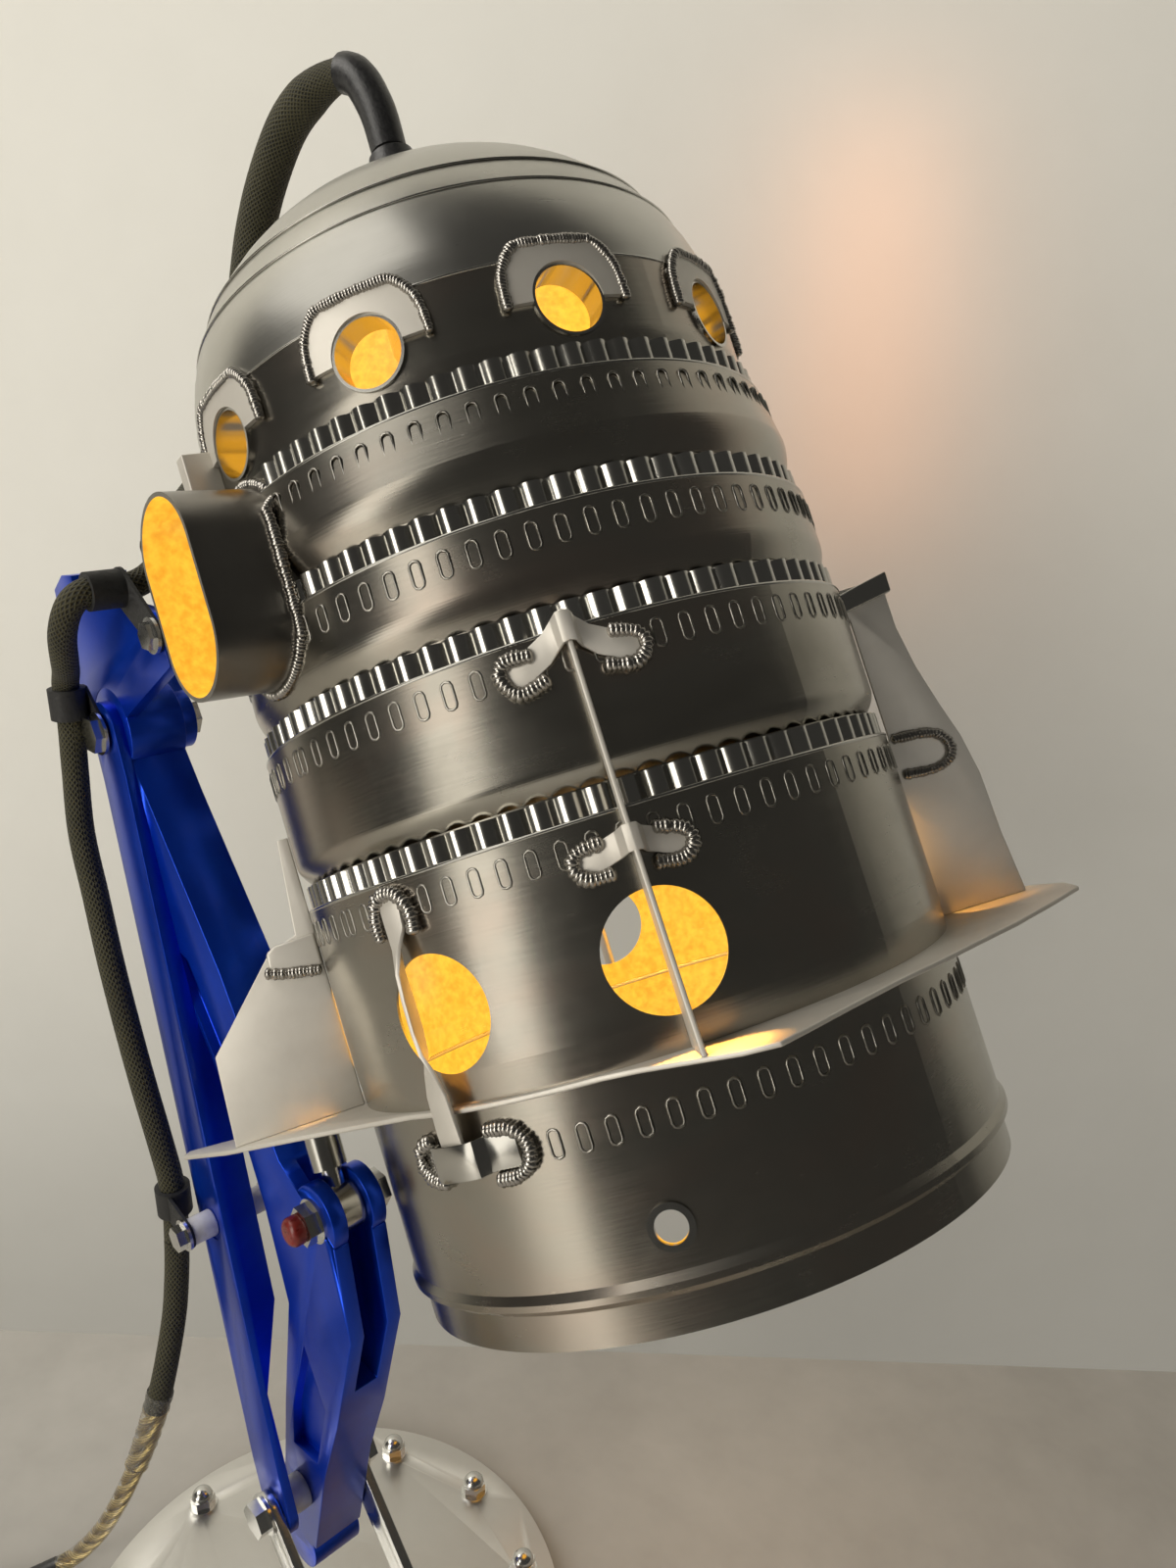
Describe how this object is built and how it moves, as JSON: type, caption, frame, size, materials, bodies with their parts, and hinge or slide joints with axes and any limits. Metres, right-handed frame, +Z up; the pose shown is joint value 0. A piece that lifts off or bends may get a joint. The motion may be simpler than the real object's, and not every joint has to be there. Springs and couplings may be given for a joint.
{
  "type": "desk lamp",
  "caption": "Desk lamp whose shade is a ringed flame tube with fins, tilting on a bent blue lever and brace that hinge on a round base plate.",
  "frame": {"origin": "centre of the foot pad's underside, on the table", "axes": "+Z up, +Y along the hinge bolts, +X the way the shade's open end leans"},
  "size_m": [0.3941, 0.5428, 0.6608],
  "materials": {
    "can_steel": "heat-tinted, polished",
    "fin_steel": "heat-stained, dull",
    "dome_steel": "spun satin",
    "bright_steel": "bright",
    "hardware": "polished",
    "blue_anodised": "anodised",
    "nylon": "satin",
    "plate_steel": "satin",
    "pad_rubber": "matt",
    "red_cap": "gloss",
    "clip_rubber": "matt",
    "olive_braid": "braided",
    "clear_flex": "clear sheath over twisted cores",
    "black_plastic": "satin",
    "porcelain": "glazed",
    "bulb_glass": "lit, warm"
  },
  "bodies": {
    "base": {"foot_pad": "pad_rubber", "base_plate": "plate_steel", "dome_nuts": "hardware", "strap_near": "hardware", "strap_far": "hardware", "hinge_bolt": "hardware", "cord_drop": "clear_flex", "cord_switch": "black_plastic", "cord_coil": "clear_flex", "coil_tie": "black_plastic", "plug": "black_plastic"},
    "arm": {"lever": "blue_anodised", "brace": "blue_anodised", "hinge_spacer": "nylon", "head_block": "blue_anodised", "head_bolt": "hardware", "fork_bolt": "hardware", "fork_cap": "red_cap", "clip_bolt": "hardware", "mid_bolt": "hardware", "mid_spacers": "nylon", "clip_top": "clip_rubber", "clip_head": "clip_rubber", "clip_mid": "clip_rubber", "arm_cable": "olive_braid"},
    "shade": {"skirt": "can_steel", "wing_ring": "fin_steel", "band_port": "can_steel", "band_plain": "can_steel", "band_low": "can_steel", "band_high": "can_steel", "eye_band": "can_steel", "dome": "dome_steel", "strip_4": "bright_steel", "strip_3": "bright_steel", "strip_2": "bright_steel", "strip_1": "bright_steel", "eye_tubes": "bright_steel", "eye_hoods": "fin_steel", "tube_near": "fin_steel", "tube_far": "fin_steel", "fin_front": "fin_steel", "fin_right": "fin_steel", "fin_back": "fin_steel", "fin_left": "fin_steel", "twist_strap": "fin_steel", "rod_boss": "bright_steel", "rod_end": "bright_steel", "rim_eyelet": "bright_steel", "dome_gland": "black_plastic", "lampholder": "porcelain", "bulb": "bulb_glass", "cable_loop": "olive_braid"},
    "rocker": {"switch_rocker": "black_plastic"}
  },
  "joints": [
    {"name": "base_tilt", "type": "hinge", "parent": "base", "child": "arm", "pos_m": [-0.002, 0.012, 0.094], "axis": [0, 1, 0], "range_deg": [-8, 6], "deforming": ["cord_drop"]},
    {"name": "shade_tilt", "type": "hinge", "parent": "arm", "child": "shade", "pos_m": [0.03, 0.012, 0.25], "axis": [0, 1, 0], "range_deg": [-2, 15], "deforming": ["cable_loop"]},
    {"name": "switch_rock", "type": "hinge", "parent": "base", "child": "rocker", "pos_m": [-0.119, -0.132, 0.017], "axis": [1, 0, 0], "range_deg": [-16, 0]}
  ]
}
